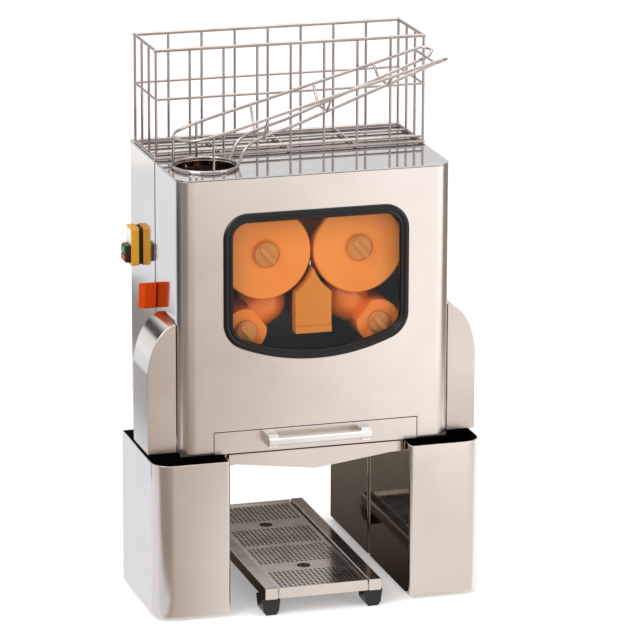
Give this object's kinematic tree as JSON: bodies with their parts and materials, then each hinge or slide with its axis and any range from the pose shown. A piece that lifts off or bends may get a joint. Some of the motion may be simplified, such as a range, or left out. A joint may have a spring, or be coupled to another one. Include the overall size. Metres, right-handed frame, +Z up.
{
  "type": "automatic orange juicer",
  "caption": "Counter-top automatic juicer: turning press drums behind a windowed steel cover, wire basket and chute on top, peel buckets at the sides, drip tray between.",
  "frame": {"origin": "middle of the footprint, on the surface that the machine stands on", "axes": "+X to the right seen from the front, +Y from the front to the back, +Z up"},
  "size_m": [0.46, 0.39, 0.755],
  "materials": {
    "brushed_steel": "brushed",
    "polished_steel": "polished",
    "chrome_wire": "bright",
    "black_rubber": "satin",
    "window_glass": "clear",
    "drum_plastic": "satin gloss",
    "holder_plastic": "satin",
    "yellow_plastic": "satin",
    "black_plastic": "satin",
    "green_plastic": "satin",
    "red_plastic": "satin",
    "latch_plastic": "gloss",
    "cast_metal": "cast",
    "gear_steel": "machined",
    "motor_paint": "satin",
    "handle_metal": "bright"
  },
  "bodies": {
    "machine": {"deck": "brushed_steel", "leg_left": "brushed_steel", "leg_right": "brushed_steel", "base_plate_left": "brushed_steel", "base_plate_right": "brushed_steel", "tank_runner_left": "brushed_steel", "tank_runner_right": "brushed_steel", "foot_front_left": "black_rubber", "foot_front_right": "black_rubber", "foot_back_left": "black_rubber", "foot_back_right": "black_rubber", "body_shell": "brushed_steel", "drum_plate": "brushed_steel", "top_plate": "polished_steel", "motor_hood": "brushed_steel", "gear_case": "cast_metal", "gear_motor": "motor_paint", "knife_holder": "holder_plastic", "knife_blade": "polished_steel", "peel_guide_left": "brushed_steel", "peel_guide_right": "brushed_steel", "feed_guide": "brushed_steel", "switch_housing": "yellow_plastic", "switch_block": "black_plastic", "latch_pin": "brushed_steel"},
    "motor_drive": {"motor_pinion": "gear_steel"},
    "cup_left": {"cup_drum_left": "drum_plastic", "cup_shaft_left": "gear_steel"},
    "cup_right": {"cup_drum_right": "drum_plastic", "cup_shaft_right": "gear_steel"},
    "ball_left": {"ball_drum_left": "drum_plastic", "ball_shaft_left": "gear_steel"},
    "ball_right": {"ball_drum_right": "drum_plastic", "ball_shaft_right": "gear_steel"},
    "cup_knob_l": {"cup_knob_left": "drum_plastic"},
    "cup_knob_r": {"cup_knob_right": "drum_plastic"},
    "ball_knob_l": {"ball_knob_left": "drum_plastic"},
    "ball_knob_r": {"ball_knob_right": "drum_plastic"},
    "cover": {"cover_panel": "brushed_steel", "window_gasket": "black_rubber", "window_pane": "window_glass", "peel_wing_left": "brushed_steel", "peel_wing_right": "brushed_steel"},
    "latch": {"cover_latch": "latch_plastic"},
    "drawer": {"strainer_drawer": "brushed_steel", "drawer_handle": "handle_metal"},
    "tank": {"juice_tank": "brushed_steel"},
    "bucket_left": {"peel_bucket_left": "brushed_steel"},
    "bucket_right": {"peel_bucket_right": "brushed_steel"},
    "basket": {"feed_basket": "chrome_wire"},
    "chute": {"feed_chute": "chrome_wire"},
    "tray": {"tray_pan": "brushed_steel", "tray_foot_front_left": "black_plastic", "tray_foot_front_right": "black_plastic", "tray_foot_back_left": "black_plastic", "tray_foot_back_right": "black_plastic"},
    "grid_front": {"drip_grid_front": "polished_steel"},
    "grid_back": {"drip_grid_back": "polished_steel"},
    "start": {"start_button": "green_plastic"},
    "stop": {"stop_button": "red_plastic"}
  },
  "joints": [
    {"name": "motor_spin", "type": "hinge", "parent": "machine", "child": "motor_drive", "pos_m": [-0.02909, -0.092, 0.37392], "axis": [0, 1, 0], "continuous": true},
    {"name": "cup_left_spin", "type": "hinge", "parent": "machine", "child": "cup_left", "pos_m": [-0.065, -0.092, 0.491], "axis": [0, 1, 0], "continuous": true},
    {"name": "cup_right_spin", "type": "hinge", "parent": "machine", "child": "cup_right", "pos_m": [0.065, -0.092, 0.491], "axis": [0, 1, 0], "continuous": true},
    {"name": "ball_left_spin", "type": "hinge", "parent": "machine", "child": "ball_left", "pos_m": [-0.0929, -0.092, 0.38632], "axis": [0, 1, 0], "continuous": true},
    {"name": "ball_right_spin", "type": "hinge", "parent": "machine", "child": "ball_right", "pos_m": [0.0929, -0.092, 0.38632], "axis": [0, 1, 0], "continuous": true},
    {"name": "cup_knob_left_turn", "type": "hinge", "parent": "cup_left", "child": "cup_knob_l", "pos_m": [-0.065, -0.137, 0.491], "axis": [0, 1, 0], "range_deg": [-90, 0]},
    {"name": "cup_knob_right_turn", "type": "hinge", "parent": "cup_right", "child": "cup_knob_r", "pos_m": [0.065, -0.137, 0.491], "axis": [0, 1, 0], "range_deg": [-90, 0]},
    {"name": "ball_knob_left_turn", "type": "hinge", "parent": "ball_left", "child": "ball_knob_l", "pos_m": [-0.0929, -0.137, 0.38632], "axis": [0, 1, 0], "range_deg": [-90, 0]},
    {"name": "ball_knob_right_turn", "type": "hinge", "parent": "ball_right", "child": "ball_knob_r", "pos_m": [0.0929, -0.137, 0.38632], "axis": [0, 1, 0], "range_deg": [-90, 0]},
    {"name": "cover_slide", "type": "slide", "parent": "machine", "child": "cover", "axis": [0, -1, 0], "range_m": [0, 0.15]},
    {"name": "latch_turn", "type": "hinge", "parent": "machine", "child": "latch", "pos_m": [-0.199, -0.025, 0.411], "axis": [1, 0, 0], "range_deg": [-90, 0]},
    {"name": "drawer_slide", "type": "slide", "parent": "machine", "child": "drawer", "axis": [0, -1, 0], "range_m": [0, 0.1]},
    {"name": "tank_slide", "type": "slide", "parent": "machine", "child": "tank", "axis": [0, -1, 0], "range_m": [0, 0.1]},
    {"name": "bucket_left_slide", "type": "slide", "parent": "machine", "child": "bucket_left", "axis": [0, -1, 0], "range_m": [0, 0.18]},
    {"name": "bucket_right_slide", "type": "slide", "parent": "machine", "child": "bucket_right", "axis": [0, -1, 0], "range_m": [0, 0.18]},
    {"name": "basket_lift", "type": "slide", "parent": "machine", "child": "basket", "axis": [0, 0, 1], "range_m": [0, 0.16]},
    {"name": "chute_lift", "type": "slide", "parent": "machine", "child": "chute", "axis": [0, 0, 1], "range_m": [0, 0.1]},
    {"name": "tray_slide", "type": "slide", "parent": "machine", "child": "tray", "axis": [0, -1, 0], "range_m": [0, 0.2]},
    {"name": "grid_front_lift", "type": "slide", "parent": "tray", "child": "grid_front", "axis": [0, 0, 1], "range_m": [0, 0.06]},
    {"name": "grid_back_lift", "type": "slide", "parent": "tray", "child": "grid_back", "axis": [0, 0, 1], "range_m": [0, 0.06]},
    {"name": "start_press", "type": "slide", "parent": "machine", "child": "start", "axis": [1, 0, 0], "range_m": [0, 0.0025], "stiffness_N_per_m": 300},
    {"name": "stop_press", "type": "slide", "parent": "machine", "child": "stop", "axis": [1, 0, 0], "range_m": [0, 0.0025], "stiffness_N_per_m": 300}
  ],
  "couplings": [
    {"joint": "ball_left_spin", "follows": "motor_spin", "ratio": -0.5},
    {"joint": "cup_left_spin", "follows": "motor_spin", "ratio": 0.33333},
    {"joint": "cup_right_spin", "follows": "motor_spin", "ratio": -0.33333},
    {"joint": "ball_right_spin", "follows": "motor_spin", "ratio": 0.5}
  ]
}
